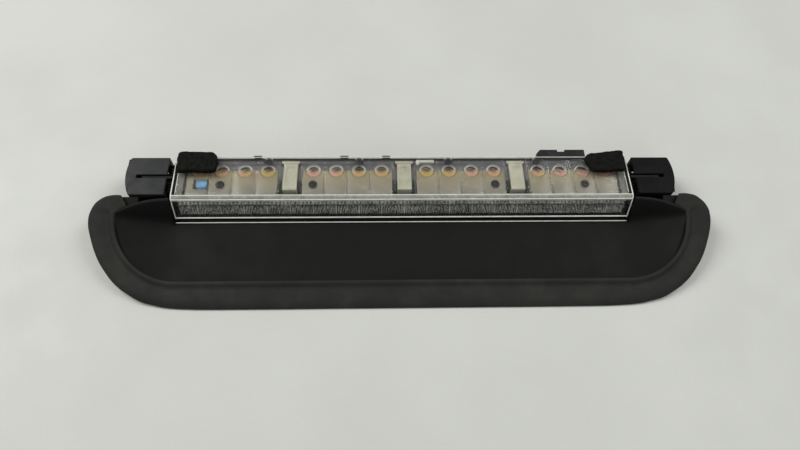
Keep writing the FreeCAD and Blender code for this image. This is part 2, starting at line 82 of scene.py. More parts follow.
camera_at(-4.561, 61.895, 3.725, 0.38503, (-0.002922, (0.108 + SY) / 1000.0, 0.0034), 27.031)


# ---------------------------------------------------------------- small helpers
def mm(x, y, z):
    """Design millimetres to the frame's metres."""
    return (x / 1000.0, (y + SY) / 1000.0, z / 1000.0)


def lin(r, g, b):
    """Linear colour of 0-255 display values."""
    out = []
    for c in (r, g, b):
        c /= 255.0
        out.append(c / 12.92 if c <= 0.04045 else ((c + 0.055) / 1.055) ** 2.4)
    return (out[0], out[1], out[2], 1.0)


def link_object(name, me):
    ob = bpy.data.objects.new(name, me)
    bpy.context.scene.collection.objects.link(ob)
    return ob


def smooth(ob, angle=35.0):
    me = ob.data
    me.polygons.foreach_set("use_smooth", [True] * len(me.polygons))
    me.set_sharp_from_angle(angle=math.radians(angle))
    me.update()


def catmull(points, per=12, closed=False):
    """Points along a smooth curve through the given ones."""
    pts = [Vector(p) for p in points]
    n = len(pts)
    out = []
    spans = n if closed else n - 1
    for i in range(spans):
        p0 = pts[(i - 1) % n] if closed or i > 0 else pts[0] * 2 - pts[1]
        p1 = pts[i % n]
        p2 = pts[(i + 1) % n]
        p3 = pts[(i + 2) % n] if closed or i + 2 < n else pts[-1] * 2 - pts[-2]
        d1 = max((p1 - p0).length, 1e-9) ** 0.5
        d2 = max((p2 - p1).length, 1e-9) ** 0.5
        d3 = max((p3 - p2).length, 1e-9) ** 0.5
        for j in range(per):
            t = d2 * j / per
            a1 = p0 * (-t / d1) + p1 * ((t + d1) / d1)
            a2 = p1 * ((d2 - t) / d2) + p2 * (t / d2)
            a3 = p2 * ((d2 + d3 - t) / d3) + p3 * ((t - d2) / d3)
            b1 = a1 * ((d2 - t) / (d1 + d2)) + a2 * ((t + d1) / (d1 + d2))
            b2 = a2 * ((d2 + d3 - t) / (d2 + d3)) + a3 * (t / (d2 + d3))
            out.append(b1 * ((d2 - t) / d2) + b2 * (t / d2))
    if not closed:
        out.append(pts[-1])
    return out


def loft(name, rings, cap=True, closed_ring=True):
    """One mesh through rings of equal length, in design mm."""
    bm = bmesh.new()
    rows = [[bm.verts.new(mm(*p)) for p in ring] for ring in rings]
    n = len(rows[0])
    for a, b in zip(rows, rows[1:]):
        for i in range(n if closed_ring else n - 1):
            j = (i + 1) % n
            bm.faces.new((a[i], a[j], b[j], b[i]))
    if cap:
        for row in (rows[0], rows[-1]):
            c = sum((v.co for v in row), Vector()) / n
            cv = bm.verts.new(c)
            for i in range(n):
                bm.faces.new((row[i], row[(i + 1) % n], cv))
    bmesh.ops.recalc_face_normals(bm, faces=bm.faces)
    me = bpy.data.meshes.new(name)
    bm.to_mesh(me)
    bm.free()
    return link_object(name, me)


def cad_mesh(name, weld=0.01, flat=1.0, drop=None):
    """A cleaned copy of a CAD node's mesh: welded, with its flat faces whole again."""
    me = nodes[name].data.copy()
    bm = bmesh.new()
    bm.from_mesh(me)
    bmesh.ops.remove_doubles(bm, verts=bm.verts, dist=weld / 1000.0)
    if drop:
        gone = [f for f in bm.faces if drop(f)]
        bmesh.ops.delete(bm, geom=gone, context="FACES")
        bmesh.ops.remove_doubles(bm, verts=bm.verts, dist=0.06 / 1000.0)
    bmesh.ops.dissolve_limit(bm, angle_limit=math.radians(flat), verts=bm.verts, edges=bm.edges,
                             use_dissolve_boundaries=False)
    bmesh.ops.recalc_face_normals(bm, faces=bm.faces)
    me2 = bpy.data.meshes.new(name + "_made")
    bm.to_mesh(me2)
    bm.free()
    bpy.data.meshes.remove(me)
    return me2


def body_of_node(name):
    for b, info in BODY_NODES.items():
        if name in info:
            return b
    return "lamp"


BODY_NODES = {"latch_left_body": ("latch_left",), "latch_right_body": ("latch_right",)}


def remade(name, new_name, mat, width=0.3, segments=2, angle=30.0, weld=0.01, flat=1.0, drop=None,
           clamp=False, sharp=40.0):
    """A CAD node made again with rounded edges. It stands for the node."""
    me = cad_mesh(name, weld, flat, drop)
    me.materials.clear()
    ob = link_object(new_name, me)
    me.materials.append(mat)
    if width > 0:
        bv = ob.modifiers.new("round", "BEVEL")
        bv.width = width / 1000.0
        bv.segments = segments
        bv.limit_method = "ANGLE"
        bv.angle_limit = math.radians(angle)
        bv.use_clamp_overlap = clamp
        bv.harden_normals = False
        bv.miter_outer = "MITER_SHARP"
    smooth(ob, sharp)
    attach(ob, body_of_node(name))
    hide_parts(name)
    return ob


def paint(name, mat):
    """A carried-over CAD node gets its material."""
    for s in nodes[name].material_slots:
        s.material = mat


# ---------------------------------------------------------------- materials
class Graph:
    def __init__(self, name):
        self.m = bpy.data.materials.new(name)
        self.m.use_nodes = True
        self.nt = self.m.node_tree
        self.bsdf = self.nt.nodes["Principled BSDF"]
        self.tc = self.nt.nodes.new("ShaderNodeTexCoord")

    def node(self, kind, **props):
        n = self.nt.nodes.new(kind)
        for k, v in props.items():
            setattr(n, k, v)
        return n

    def link(self, a, b):
        self.nt.links.new(a, b)

    def noise(self, scale, detail=4.0, rough=0.55, stretch=None):
        n = self.node("ShaderNodeTexNoise")
        n.inputs["Scale"].default_value = scale
        n.inputs["Detail"].default_value = detail
        n.inputs["Roughness"].default_value = rough
        if stretch:
            mp = self.node("ShaderNodeMapping")
            mp.inputs["Scale"].default_value = stretch
            self.link(self.tc.outputs["Object"], mp.inputs["Vector"])
            self.link(mp.outputs["Vector"], n.inputs["Vector"])
        else:
            self.link(self.tc.outputs["Object"], n.inputs["Vector"])
        return n.outputs["Fac"]

    def ranged(self, src, lo, hi, to_lo=0.0, to_hi=1.0, kind="SMOOTHSTEP"):
        n = self.node("ShaderNodeMapRange", interpolation_type=kind)
        for nm, v in (("From Min", lo), ("From Max", hi), ("To Min", to_lo), ("To Max", to_hi)):
            n.inputs[nm].default_value = v
        self.link(src, n.inputs["Value"])
        return n.outputs["Result"]

    def math(self, op, a, b=None, c=None):
        n = self.node("ShaderNodeMath", operation=op)
        for i, v in enumerate((a, b, c)):
            if v is None:
                continue
            if isinstance(v, (int, float)):
                n.inputs[i].default_value = v
            else:
                self.link(v, n.inputs[i])
        return n.outputs[0]

    def mix(self, fac, a, b):
        n = self.node("ShaderNodeMix", data_type="RGBA")
        for sock, v in ((n.inputs[0], fac), (n.inputs[6], a), (n.inputs[7], b)):
            if isinstance(v, (int, float)):
                sock.default_value = v
            elif isinstance(v, tuple):
                sock.default_value = v
            else:
                self.link(v, sock)
        return n.outputs[2]

    def bump(self, height, distance_mm, strength=1.0, normal=None):
        n = self.node("ShaderNodeBump")
        n.inputs["Strength"].default_value = strength
        n.inputs["Distance"].default_value = distance_mm / 1000.0
        self.link(height, n.inputs["Height"])
        if normal is not None:
            self.link(normal, n.inputs["Normal"])
        return n.outputs["Normal"]

    def xyz(self):
        n = self.node("ShaderNodeSeparateXYZ")
        self.link(self.tc.outputs["Object"], n.inputs[0])
        return n.outputs[0], n.outputs[1], n.outputs[2]

    def set(self, **values):
        for k, v in values.items():
            self.bsdf.inputs[k.replace("_", " ")].default_value = v


def plastic(name, base, alt, rough=(0.42, 0.6), specular=0.5, grain=(2600.0, 0.012), mottle=45.0, dust=None,
            dust_amount=0.2, dust_scale=30.0, scratch=0.0, scratch_dir=(6.0, 900.0, 900.0), metallic=0.0):
    """Moulded plastic or rubber: two tones, a fine grain, a film of dust and faint scratches."""
    g = Graph(name)
    tone = g.ranged(g.noise(mottle, 5.0, 0.6), 0.3, 0.72)
    col = g.mix(tone, base, alt)
    film = None
    if dust:
        film = g.math("MULTIPLY", g.ranged(g.noise(dust_scale, 7.0, 0.68), 0.42, 0.78), dust_amount)
        specks = g.ranged(g.noise(1400.0, 2.0, 0.5), 0.72, 0.8, 0.0, dust_amount * 1.2)
        film = g.math("ADD", film, specks)
        col = g.mix(film, col, dust)
    g.link(col, g.bsdf.inputs["Base Color"])
    r = g.ranged(g.noise(mottle * 2.3, 4.0, 0.6), 0.3, 0.7, rough[0], rough[1])
    g.link(r, g.bsdf.inputs["Roughness"])
    h = g.noise(grain[0], 3.0, 0.6)
    nrm = g.bump(h, grain[1])
    if scratch > 0:
        s = g.noise(1.0, 2.0, 0.5, stretch=scratch_dir)
        line = g.ranged(s, 0.62, 0.7)
        nrm = g.bump(line, scratch, 1.0, nrm)
    g.link(nrm, g.bsdf.inputs["Normal"])
    g.set(Specular_IOR_Level=specular, Metallic=metallic)
    return g.m


def glassy(name, base, alt, rough=(0.03, 0.1), transmission=0.9, alpha=1.0, ior=1.49, grain=(700.0, 0.01), mottle=60.0,
           specular=0.5):
    g = Graph(name)
    tone = g.ranged(g.noise(mottle, 5.0, 0.6), 0.3, 0.72)
    g.link(g.mix(tone, base, alt), g.bsdf.inputs["Base Color"])
    g.link(g.ranged(g.noise(mottle * 3.0, 4.0, 0.6), 0.35, 0.75, rough[0], rough[1]), g.bsdf.inputs["Roughness"])
    g.link(g.bump(g.noise(grain[0], 3.0, 0.55), grain[1]), g.bsdf.inputs["Normal"])
    g.set(Transmission_Weight=transmission, Alpha=alpha, IOR=ior, Specular_IOR_Level=specular)
    return g.m


M = {}
M["hood"] = plastic("hood_black", lin(15, 17, 14), lin(18, 20, 17), rough=(0.58, 0.68), specular=0.16,
                    grain=(2300.0, 0.02), mottle=26.0, dust=lin(60, 60, 55), dust_amount=0.03, dust_scale=40.0,
                    scratch=0.006)
M["seal"] = plastic("seal_rubber", lin(35, 36, 33), lin(41, 42, 38), rough=(0.62, 0.76), specular=0.2,
                    grain=(1900.0, 0.02), mottle=38.0, dust=lin(96, 95, 86), dust_amount=0.12, dust_scale=34.0)
M["gasket"] = plastic("gasket_rubber", lin(24, 24, 23), lin(32, 32, 30), rough=(0.8, 0.95), specular=0.2,
                      grain=(1200.0, 0.06), mottle=120.0)
M["housing"] = plastic("housing_black", lin(30, 30, 30), lin(38, 38, 37), rough=(0.45, 0.6),
                       grain=(2400.0, 0.012), dust=lin(100, 98, 90), dust_amount=0.12)
M["frame"] = plastic("frame_grey", lin(104, 102, 110), lin(122, 119, 122), rough=(0.35, 0.5), specular=0.5,
                     grain=(2000.0, 0.008), mottle=50.0, dust=lin(140, 136, 128), dust_amount=0.22)
M["cup"] = plastic("cup_white", lin(252, 251, 244), lin(244, 242, 230), rough=(0.2, 0.34), specular=0.6,
                   grain=(1500.0, 0.004), mottle=140.0)
M["led"] = plastic("led_black", lin(26, 22, 18), lin(40, 34, 28), rough=(0.15, 0.3), specular=0.6,
                   grain=(1500.0, 0.004), mottle=300.0)
M["screw"] = plastic("screw_black", lin(12, 12, 13), lin(26, 26, 28), rough=(0.3, 0.5), specular=0.4,
                     grain=(1600.0, 0.012), mottle=400.0)
M["clip"] = plastic("clip_cream", lin(212, 210, 190), lin(196, 194, 172), rough=(0.25, 0.4), specular=0.5,
                    grain=(1400.0, 0.006), mottle=90.0, dust=lin(150, 142, 120), dust_amount=0.25, dust_scale=120.0)
M["resistor"] = plastic("resistor_black", lin(24, 24, 24), lin(40, 40, 40), rough=(0.3, 0.5), mottle=700.0,
                        grain=(3000.0, 0.006))
M["diode"] = plastic("diode_black", lin(26, 26, 26), lin(38, 38, 38), rough=(0.35, 0.5), mottle=500.0,
                     grain=(3000.0, 0.006))
M["varistor"] = plastic("varistor_blue", lin(128, 186, 226), lin(104, 166, 214), rough=(0.2, 0.35), specular=0.6,
                        grain=(900.0, 0.02), mottle=260.0)
M["header"] = plastic("header_white", lin(232, 231, 222), lin(216, 214, 200), rough=(0.3, 0.45),
                      grain=(1600.0, 0.006), mottle=200.0)
M["connector"] = plastic("connector_black", lin(20, 20, 20), lin(30, 30, 29), rough=(0.45, 0.6), specular=0.28,
                         grain=(2200.0, 0.014), dust=lin(90, 88, 82), dust_amount=0.08)
M["pin"] = plastic("pin_tin", lin(206, 205, 200), lin(178, 176, 168), rough=(0.2, 0.38), metallic=1.0,
                   grain=(1400.0, 0.004), mottle=500.0)
M["foam"] = plastic("foam_black", lin(17, 17, 15), lin(30, 30, 27), rough=(0.92, 1.0), specular=0.08,
                    grain=(1500.0, 0.16), mottle=420.0)
M["latch_left"] = plastic("latch_black", lin(27, 29, 29), lin(32, 34, 34), rough=(0.48, 0.6), specular=0.3,
                          grain=(2600.0, 0.03), mottle=70.0, dust=lin(96, 96, 92), dust_amount=0.08, dust_scale=60.0,
                          scratch=0.006, scratch_dir=(500.0, 14.0, 500.0))
# painted shade: the right catch is the same part as the left, given a darker and flatter copy of its black
M["latch_right"] = plastic("latch_black_painted_shade", lin(13, 14, 13), lin(17, 18, 17), rough=(0.6, 0.72), specular=0.1,
                           grain=(2600.0, 0.03), mottle=70.0, dust=lin(70, 70, 66), dust_amount=0.06,
                           dust_scale=60.0, scratch=0.006, scratch_dir=(500.0, 14.0, 500.0))
# black plastic, made darker still as painted shade for the blade deep in the catch's slot
M["bracket"] = plastic("bracket_black", lin(13, 13, 13), lin(19, 19, 19), rough=(0.5, 0.65), specular=0.2,
                       grain=(2400.0, 0.014))
M["spring"] = plastic("spring_steel", lin(150, 150, 150), lin(120, 119, 117), rough=(0.25, 0.42), metallic=1.0,
                      grain=(3000.0, 0.004), mottle=600.0)


def board_material():
    """Solder mask over copper tracks: the tracks are a shade lighter and stand a little proud."""
    g = Graph("board_green")
    x, y, z = g.xyz()
    cells = g.node("ShaderNodeTexBrick")
    cells.inputs["Scale"].default_value = 130.0
    cells.inputs["Mortar Size"].default_value = 0.05
    g.link(g.tc.outputs["Object"], cells.inputs["Vector"])
    base = g.mix(g.ranged(g.noise(80.0, 4.0, 0.6), 0.35, 0.7), lin(44, 70, 52), lin(56, 84, 60))
    g.link(g.mix(cells.outputs["Fac"], base, lin(78, 104, 74)), g.bsdf.inputs["Base Color"])
    g.link(g.ranged(g.noise(200.0), 0.3, 0.7, 0.25, 0.4), g.bsdf.inputs["Roughness"])
    g.link(g.bump(cells.outputs["Fac"], 0.03), g.bsdf.inputs["Normal"])
    return g.m


M["board"] = board_material()


def guide_material():
    """Clear acrylic over the board: tan at the light sources, paler and pinkish towards the front,
    with the rim of each cup seen through it as a half disc."""
    g = Graph("guide_amber")
    x, y, z = g.xyz()
    u = g.math("DIVIDE", x, PITCH / 1000.0)
    u = g.math("ADD", u, 0.5)
    cell = g.math("FLOOR", u)
    u = g.math("SUBTRACT", u, cell)
    u = g.math("SUBTRACT", u, 0.5)
    u = g.math("MULTIPLY", u, PITCH)                      # mm from the cell's middle
    yy = g.math("MULTIPLY", y, 1000.0)
    yy = g.math("SUBTRACT", yy, 32.5 + SY)
    d = g.math("SQRT", g.math("ADD", g.math("MULTIPLY", u, u), g.math("MULTIPLY", yy, yy)))
    disc = g.ranged(d, 5.0, 4.4)
    rim = g.math("MULTIPLY", g.ranged(d, 4.5, 4.75), g.ranged(d, 5.35, 5.05))
    glow = g.ranged(d, 3.4, 1.2)
    along = g.ranged(yy, -18.0, -1.0)
    var = g.ranged(g.noise(75.0, 5.0, 0.62), 0.32, 0.7)
    front = g.mix(var, lin(150, 145, 134), lin(168, 163, 148))
    back = g.mix(var, lin(176, 166, 134), lin(158, 142, 114))
    col = g.mix(along, front, back)
    warm = g.mix(g.ranged(g.noise(38.0, 2.0), 0.4, 0.62), lin(214, 168, 150), lin(206, 176, 108))
    warm = g.mix(g.math("MULTIPLY", glow, 0.6), warm, lin(150, 112, 66))
    col = g.mix(g.math("MULTIPLY", disc, 0.95), col, warm)
    col = g.mix(g.math("MULTIPLY", rim, 0.85), col, lin(104, 86, 56))
    g.link(col, g.bsdf.inputs["Base Color"])
    g.link(g.ranged(g.noise(160.0, 4.0), 0.3, 0.7, 0.12, 0.3), g.bsdf.inputs["Roughness"])
    g.link(g.bump(g.noise(500.0, 3.0), 0.02), g.bsdf.inputs["Normal"])
    g.set(Transmission_Weight=0.0, IOR=1.49)
    return g.m


M["guide"] = guide_material()
M["lens"] = glassy("lens_clear", lin(246, 248, 243), lin(238, 240, 233), rough=(0.0, 0.03), transmission=0.97,
                   alpha=0.38, grain=(420.0, 0.004), mottle=40.0)
# painted highlight: near-white, nearly opaque colour on the clear cover's edges and rods, for the light they gather
M["frost"] = glassy("lens_edge", lin(250, 251, 246), lin(226, 228, 218), rough=(0.12, 0.3), transmission=0.05,
                    alpha=1.0, grain=(900.0, 0.05), mottle=260.0)
# painted light: opaque pale grey on the cover's clear end ledges
M["ledge"] = glassy("lens_ledge_painted_light", lin(150, 148, 138), lin(116, 115, 108), rough=(0.15, 0.35), transmission=0.0,
                    alpha=1.0, grain=(700.0, 0.05), mottle=140.0)
# painted highlight: whitish, half opaque colour on the cover's top front ridge
M["ridge"] = glassy("lens_ridge_painted_highlight", lin(228, 230, 220), lin(196, 198, 186), rough=(0.15, 0.35), transmission=0.2,
                    alpha=0.5, grain=(800.0, 0.05), mottle=150.0)


def optic_material():
    """Prisms seen against the dark inside. Their colour is painted light: a near-white painted highlight on the crests
    and cell edges, scattered painted glints, and a dark painted shade on the flanks.
    """
    g = Graph("lens_optics")
    at = g.node("ShaderNodeAttribute", attribute_name="relief")
    painted_highlight = g.ranged(at.outputs["Fac"], 0.18, 0.36)
    smear = g.ranged(g.noise(120.0, 5.0, 0.65), 0.3, 0.7, 0.35, 1.0)
    painted_glint = g.ranged(g.noise(900.0, 2.0, 0.5), 0.55, 0.62)
    painted_highlight = g.math("MULTIPLY", painted_highlight, smear)
    painted_highlight = g.math("MAXIMUM", painted_highlight, g.math("MULTIPLY", painted_glint, 0.7))
    base = g.mix(g.ranged(g.noise(60.0, 4.0), 0.3, 0.7), lin(26, 29, 22), lin(56, 59, 48))
    g.link(g.mix(painted_highlight, base, lin(252, 253, 244)), g.bsdf.inputs["Base Color"])
    g.link(g.ranged(g.noise(300.0), 0.3, 0.7, 0.08, 0.22), g.bsdf.inputs["Roughness"])
    g.set(IOR=1.49, Specular_IOR_Level=0.6)
    return g.m


M["optic"] = optic_material()
# painted shade: near-black on the clear cover's foot, for the dark gap seen through it
M["dark"] = plastic("lens_foot_painted_shade", lin(5, 5, 4), lin(9, 9, 8), rough=(0.45, 0.6), specular=0.08,
                    grain=(900.0, 0.01), mottle=120.0)
# painted shade: near-black for the deep inside of the white cups
M["hollow"] = plastic("cup_inside_painted_shade", lin(14, 13, 12), lin(26, 23, 20), rough=(0.3, 0.5), specular=0.3,
                      grain=(1500.0, 0.006), mottle=200.0)

# ---------------------------------------------------------------- hood
def glass_z(y):
    return 6.3 + 0.27 * (y + 40.0)


def trough_z(x, drop=2.4):
    """The hood's inside surface at x, or its outer skin with drop 0, design mm."""
    dx = abs(x) - 141.5
    if dx <= 0:
        return drop
    r = 62.4 - drop
    return 62.4 - math.sqrt(max(r * r - dx * dx, 0.0))


WALL = catmull([(137, 9.6, 0), (143, 9.5, 0), (150, 9.25, 0), (157, 8.6, 0), (163, 7.4, 0), (170, 5.1, 0),
                (176, 2.6, 0), (182, -0.6, 0)], 16)


def wall_c(x):
    """Plan position of the rear wall's top edge at x."""
    for p, q in zip(WALL, WALL[1:]):
        if p.x <= x <= q.x:
            return p.y + (q.y - p.y) * (x - p.x) / max(q.x - p.x, 1e-9)
    return WALL[-1].y


def wall_y(x, z):
    c = wall_c(x)
    return c + 0.404 * (z - glass_z(c))


def join(parts, name, mode="UNION", keep=None):
    """One closed mesh out of several."""
    base = parts[0]
    for other in parts[1:]:
        md = base.modifiers.new("b", "BOOLEAN")
        md.operation = mode
        md.solver = "MANIFOLD"
        md.object = other
        dg = bpy.context.evaluated_depsgraph_get()
        me = bpy.data.meshes.new_from_object(base.evaluated_get(dg))
        base.modifiers.clear()
        base.data = me
        bpy.data.objects.remove(other)
    base.name = name
    base.data.name = name
    return base


def apron_y(ax):
    """How far the skin goes on behind the wall at x."""
    if ax > 175.2:
        return -99.0
    return 12.85


def pan():
    xs = [i * 141.5 / 24 for i in range(25)]
    xs += [141.5 + (147.95 - 141.5) * i / 5 for i in range(1, 6)]
    xs += [148.0 + (179.2 - 148.0) * math.sin(math.pi / 2 * i / 40) for i in range(1, 41)]
    xs = [-x for x in reversed(xs[1:])] + xs
    rings = []
    for x in xs:
        ax = abs(x)
        yf = -41.0 if ax <= 138 else 0.8 - math.sqrt(max(41.8 ** 2 - (ax - 138.0) ** 2, 0.0))
        yr = 43.0 if ax <= 147.96 else max(wall_y(ax, trough_z(ax)) + 1.2, apron_y(ax))
        top = [yf + (-2.0 - yf) * i / 16 for i in range(17)] + [-2.0 + (yr + 2.0) * i / 10 for i in range(1, 11)]
        e0 = min(0.5, 0.4 * (top[1] - top[0]))
        e1 = min(0.5, 0.4 * (top[-1] - top[-2]))
        zb = trough_z(ax, 0.0)

        def upper(y):
            return max(min(trough_z(ax), glass_z(y) - 1.75), zb + 1.2)
        ring = [(x, yf, upper(yf) - e0), (x, yf + 0.3 * e0, upper(yf) - 0.3 * e0), (x, yf + e0, upper(yf + e0))]
        ring += [(x, y, upper(y)) for y in top[1:-1]]
        ring += [(x, yr - e1, upper(yr - e1)), (x, yr - 0.3 * e1, upper(yr) - 0.3 * e1), (x, yr, upper(yr) - e1)]
        ring += [(x, yr, zb + e1), (x, yr - 0.3 * e1, zb + 0.3 * e1), (x, yr - e1, zb)]
        ring += [(x, y, zb) for y in reversed(top[1:-1])]
        ring += [(x, yf + e0, zb), (x, yf + 0.3 * e0, zb + 0.3 * e0), (x, yf, zb + e0)]
        rings.append(ring)
    return loft("hood", rings)


def rear_wall(sg):
    rings = []
    n = 60
    for i in range(n + 1):
        x = 146.3 + (179.1 - 146.3) * i / n
        zf = trough_z(x)
        c = wall_c(x)
        gz = glass_z(c)
        yw = wall_y(x, zf)
        zl = trough_z(x, 0.0) + 0.25
        ring = [(yw - 2.2, zf - 0.35), (yw - 1.75, zf + 0.03), (yw - 1.15, zf + 0.12), (yw - 0.6, zf + 0.38),
                (yw - 0.12, zf + 0.9), (wall_y(x, zf + 1.7), zf + 1.7)]
        top = gz - 0.05
        for f in (0.25, 0.5, 0.75):
            z = zf + 1.7 + (top - 0.7 - zf - 1.7) * f
            ring.append((wall_y(x, z), z))
        ring += [(wall_y(x, top - 0.55), top - 0.55), (wall_y(x, top - 0.2) + 0.08, top - 0.2),
                 (wall_y(x, top) + 0.35, top + 0.02), (wall_y(x, top) + 1.0, top + 0.12),
                 (wall_y(x, top) + 1.65, top + 0.1), (wall_y(x, top) + 1.95, top - 0.15),
                 (wall_y(x, top - 0.6) + 2.0, top - 0.6)]
        for f in (0.33, 0.66):
            z = top - 0.6 + (zl - top + 0.6) * f
            ring.append((wall_y(x, z) + 2.0, z))
        ring.append((wall_y(x, zl) + 2.0, zl))
        ring.append((wall_y(x, zl) - 1.2, zl))
        rings.append([(x * sg, y, z) for y, z in ring])
    return loft("wall", rings)


def slab(x0, x1, prof):
    """A prism along X with a little rounding at its two ends."""
    cy = sum(p[0] for p in prof) / len(prof)
    cz = sum(p[1] for p in prof) / len(prof)
    rings = []
    for x, k in ((x0, 0.93), (x0 + 0.12, 0.985), (x0 + 0.3, 1.0), (x1 - 0.3, 1.0), (x1 - 0.12, 0.985), (x1, 0.93)):
        rings.append([(x, cy + (y - cy) * k, cz + (z - cz) * k) for y, z in prof])
    return loft("slab", rings)


def drum(x, y, z0, z1, r, n=40):
    rings = [[(x + r * math.cos(2 * math.pi * i / n), y + r * math.sin(2 * math.pi * i / n), z) for i in range(n)]
             for z in (z0, z1)]
    return loft("drum", rings)


parts = [pan(), rear_wall(1), rear_wall(-1)]
for gx, gc in ((152.0, 9.1), (164.0, 7.1)):
    g0 = gc - 0.404 * glass_z(gc) + 1.0
    prof = [(g0 + 0.2, 1.2), (9.2, 1.2), (9.5, 1.5), (11.3, 7.6), (11.3, 8.2), (g0 + 5.6, 12.7), (g0 + 5.0, 12.8)]
    low = trough_z(gx, 0.0) + 0.6
    prof = [(y, max(z, low)) for y, z in prof]
    prof = [(y, z + 0.001 * i) for i, (y, z) in enumerate(prof)]
    parts += [slab(gx - 0.8, gx + 0.8, prof), slab(-gx - 0.8, -gx + 0.8, prof)]
for sg in (-1, 1):
    x0, x1 = sorted((165.2 * sg, 175.4 * sg))
    parts.append(slab(x0, x1, [(6.3, 11.0), (12.6, 11.0), (12.85, 11.3), (12.85, glass_z(12.85) - 2.35),
                               (12.6, glass_z(12.6) - 2.15), (6.6, glass_z(6.6) - 2.15), (6.3, glass_z(6.3) - 2.4)]))
hood = join(parts, "hood")
hood = join([hood] + [drum(x, 30.0, -1.0, 3.5, 1.9) for x in (-125.0, -20.0, 20.0, 125.0)], "hood", "DIFFERENCE")
hood.data.materials.clear()
hood.data.materials.append(M["hood"])
smooth(hood, 38.0)
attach(hood, "lamp")
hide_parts("shroud")

# ---------------------------------------------------------------- glass lip
MOUTH_CX, MOUTH_CY, MOUTH_R = 138.0, 0.8, 39.8
SEAL_OUTER = [(0, -55.0), (48, -55.0), (95, -55.0), (130, -54.6), (144, -53.5), (151, -52.0), (158.5, -50.0),
              (164, -47.2), (170, -43.5), (175.5, -39.0), (180.3, -33.5), (184.7, -27.5),
              (188.6, -20.0), (191.3, -13.0), (193.5, -6.0), (194.0, -2.2), (193.5, 3.2),
              (191.2, 7.9), (187.7, 11.2), (184.0, 13.0), (179.5, 13.7), (175.4, 13.6)]


def lip():
    outer = [Vector((p.x, p.y)) for p in catmull([(x, y, 0.0) for x, y in SEAL_OUTER], 14)]

    def meet(p, a):
        d = Vector((math.cos(a), math.sin(a)))
        best = None
        for q, r in zip(outer, outer[1:]):
            e = r - q
            den = d.x * e.y - d.y * e.x
            if abs(den) < 1e-12:
                continue
            w = q - p
            t = (w.x * e.y - w.y * e.x) / den
            s = (w.x * d.y - w.y * d.x) / den
            if t > 0.5 and -1e-6 <= s <= 1 + 1e-6 and (best is None or t < best):
                best = t
        return best

    half = []                                             # (inner point, direction, width) from the middle outwards
    for i in range(56):
        x = 138.0 * i / 56
        half.append((Vector((x, MOUTH_CY - MOUTH_R)), -math.pi / 2))
    for i in range(64):
        a = -math.pi / 2 + math.pi / 2 * i / 64
        half.append((Vector((MOUTH_CX + MOUTH_R * math.cos(a), MOUTH_CY + MOUTH_R * math.sin(a))), a))
    rear = catmull([(177.8, 0.8, 0), (177.8, 1.7, 0), (177.0, 3.0, 0), (175.2, 4.3, 0), (173.1, 5.5, 0), (171.3, 6.6, 0)], 9)
    for i, p in enumerate(rear):
        v = i / (len(rear) - 1)
        half.append((Vector((p.x, p.y)), math.radians(62.0) * v ** 0.8))
    stations = []
    for p, a in half:
        w = meet(p, a)
        if w is None:
            w = 4.3
        stations.append((p, Vector((math.cos(a), math.sin(a))), w))
    n_front = 56 + 64
    rings = []
    for side in (-1, 1):
        seq = list(enumerate(stations))
        if side < 0:
            seq = seq[:0:-1]
        for i, (p, d, w) in seq:
            k = min(1.0, w / 12.5)                         # narrower at the rear ends
            back = max(0.0, min(1.0, (i - n_front - 4) / 10.0))
            bead = 1.0 - back
            lift = 0.55 * bead
            prof = [(-0.05, None), (-0.16, -0.95), (-0.1, -0.45), (0.12, 0.02 * bead), (0.5, lift * 0.6),
                    (1.0, lift * 0.92), (1.5, lift), (2.1, lift * 0.72), (2.6, lift * 0.1), (3.1, -0.45 * bead),
                    (3.8, -0.78 * bead - 0.08 * back), (4.6, -0.86 * bead - 0.1 * back), (5.4, -0.78 * bead),
                    (6.2, -0.6 * bead)]
            ring = []
            for u, h in prof:
                uu = u * k
                q = p + d * uu
                zt = glass_z(q.y)
                if h is None:
                    zb = max(trough_z(q.x) - 0.25, 0.3) if back < 0.5 else zt - 1.9
                    ring.append((q.x, q.y, min(zb, zt - 1.0)))
                else:
                    ring.append((q.x, q.y, zt + h))
            u0 = 6.2 * k
            span = w - u0
            for f, h in ((0.14, -0.42 * bead), (0.3, -0.16 * bead), (0.48, 0.06), (0.64, 0.12), (0.79, -0.05)):
                q = p + d * (u0 + span * f)
                ring.append((q.x, q.y, glass_z(q.y) + h))
            for off, h in ((1.3, -0.38), (0.75, -0.72), (0.3, -1.15), (0.06, -1.6), (0.12, -1.95), (0.6, -2.12)):
                q = p + d * (w - off * k)
                ring.append((q.x, q.y, glass_z(q.y) + h))
            for f, h in ((0.6, -1.95), (0.2, -1.9)):
                q = p + d * (u0 + span * f)
                ring.append((q.x, q.y, glass_z(q.y) + h))
            q = p + d * (4.4 * k)
            ring.append((q.x, q.y, glass_z(q.y) - 1.9))
            q = p + d * (2.1 * k)
            ring.append((q.x, q.y, glass_z(q.y) - 1.95))
            q = p + d * (1.98 * k)
            zb = max(trough_z(q.x) - 0.25, 0.3) if back < 0.5 else glass_z(q.y) - 1.9
            ring.append((q.x, q.y, min(zb, glass_z(q.y) - 1.9)))
            # the lip is soft: it waves a little, most of all at the rear corners
            out = []
            amp = 0.10 + 0.45 * max(0.0, min(1.0, (abs(p.x) - 165.0) / 14.0))
            for x, y, z in ring:
                far = max(0.0, min(1.0, ((Vector((x, y)) - p).length - 5.5 * k) / 5.0))
                wob = noise.noise(Vector((x * side * 0.16, y * 0.16, 3.7 + side))) * amp
                wob += noise.noise(Vector((x * 0.55, y * 0.55, 9.1 + side))) * 0.12 * max(0.0, amp - 0.15)
                out.append((x * side, y, max(z + wob * far, 0.08)))
            rings.append(out)
    return loft("glass_lip", rings)


seal = lip()
seal.data.materials.append(M["seal"])
smooth(seal, 60.0)
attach(seal, "lamp")
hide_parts("glass_seal")

